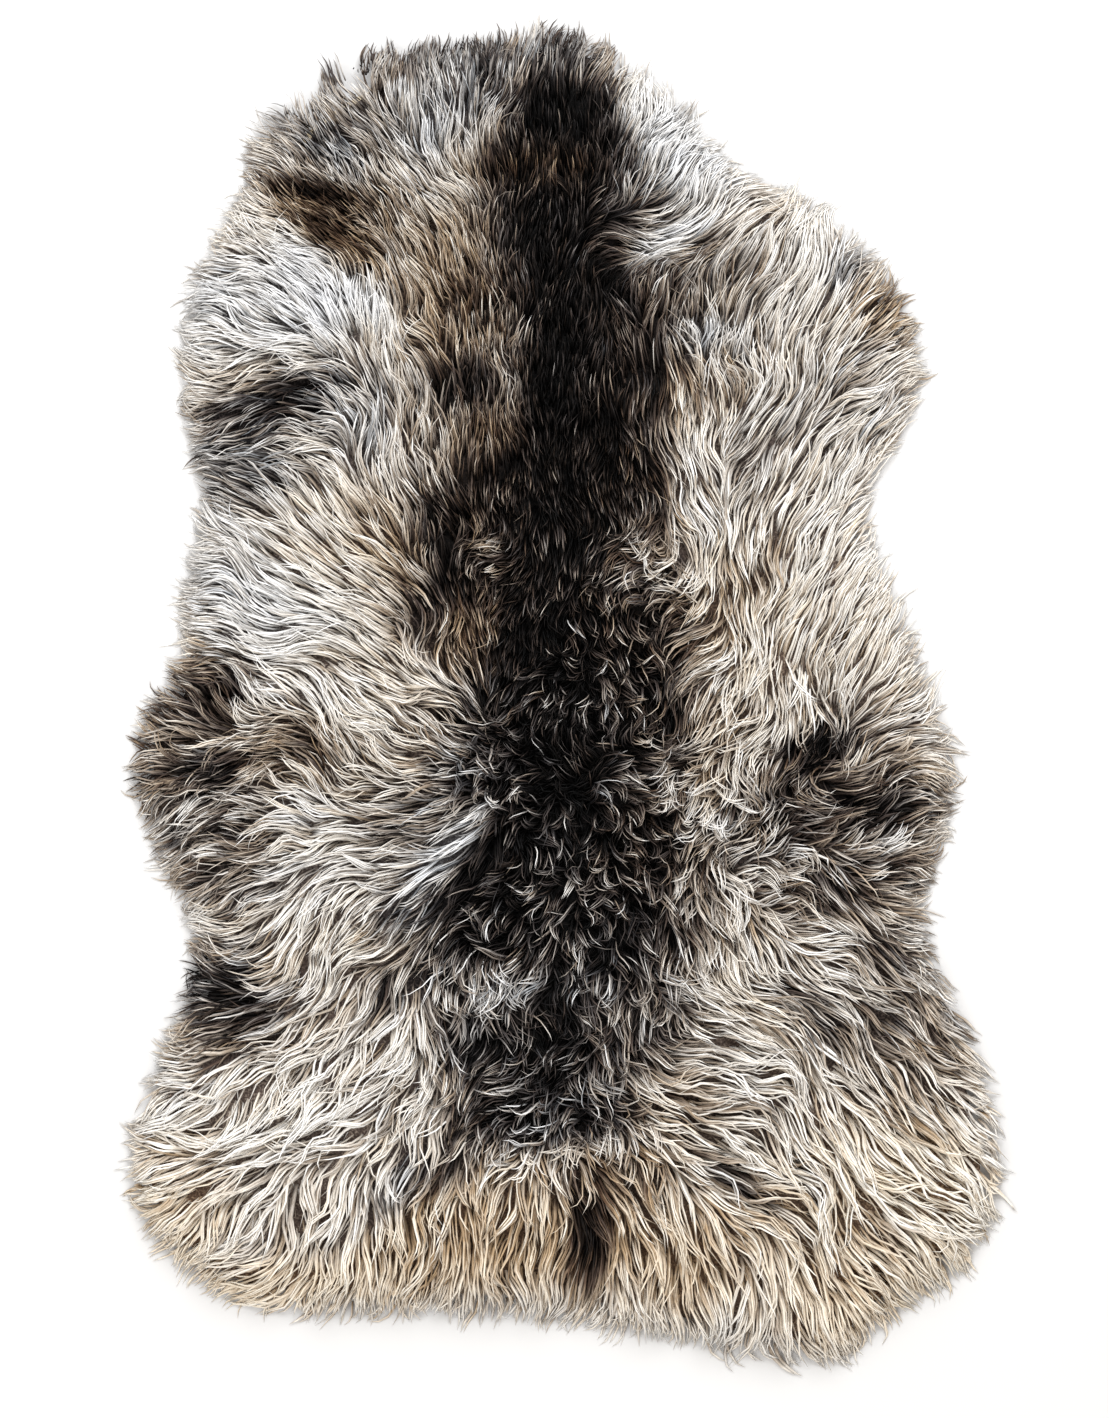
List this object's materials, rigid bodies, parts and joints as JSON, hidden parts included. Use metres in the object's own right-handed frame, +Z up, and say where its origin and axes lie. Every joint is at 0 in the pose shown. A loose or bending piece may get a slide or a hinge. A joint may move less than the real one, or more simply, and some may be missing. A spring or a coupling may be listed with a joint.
{
  "type": "sheepskin rug",
  "caption": "A long-wooled sheepskin rug lying flat, dark along the back and cream-grey on the flanks, that covers a floor or drapes a seat.",
  "frame": {"origin": "The middle of the rug's outer box, on the flat skin side that lies on the floor.", "axes": "+Z is up out of the wool; +Y runs along the backbone to the neck end; +X is to the right with the neck pointing away."},
  "size_m": [0.7194, 1.096, 0.053],
  "materials": {
    "wool": "matte",
    "hide_leather": "matte"
  },
  "bodies": {
    "root": {"sheepskin": "wool"}
  },
  "joints": []
}
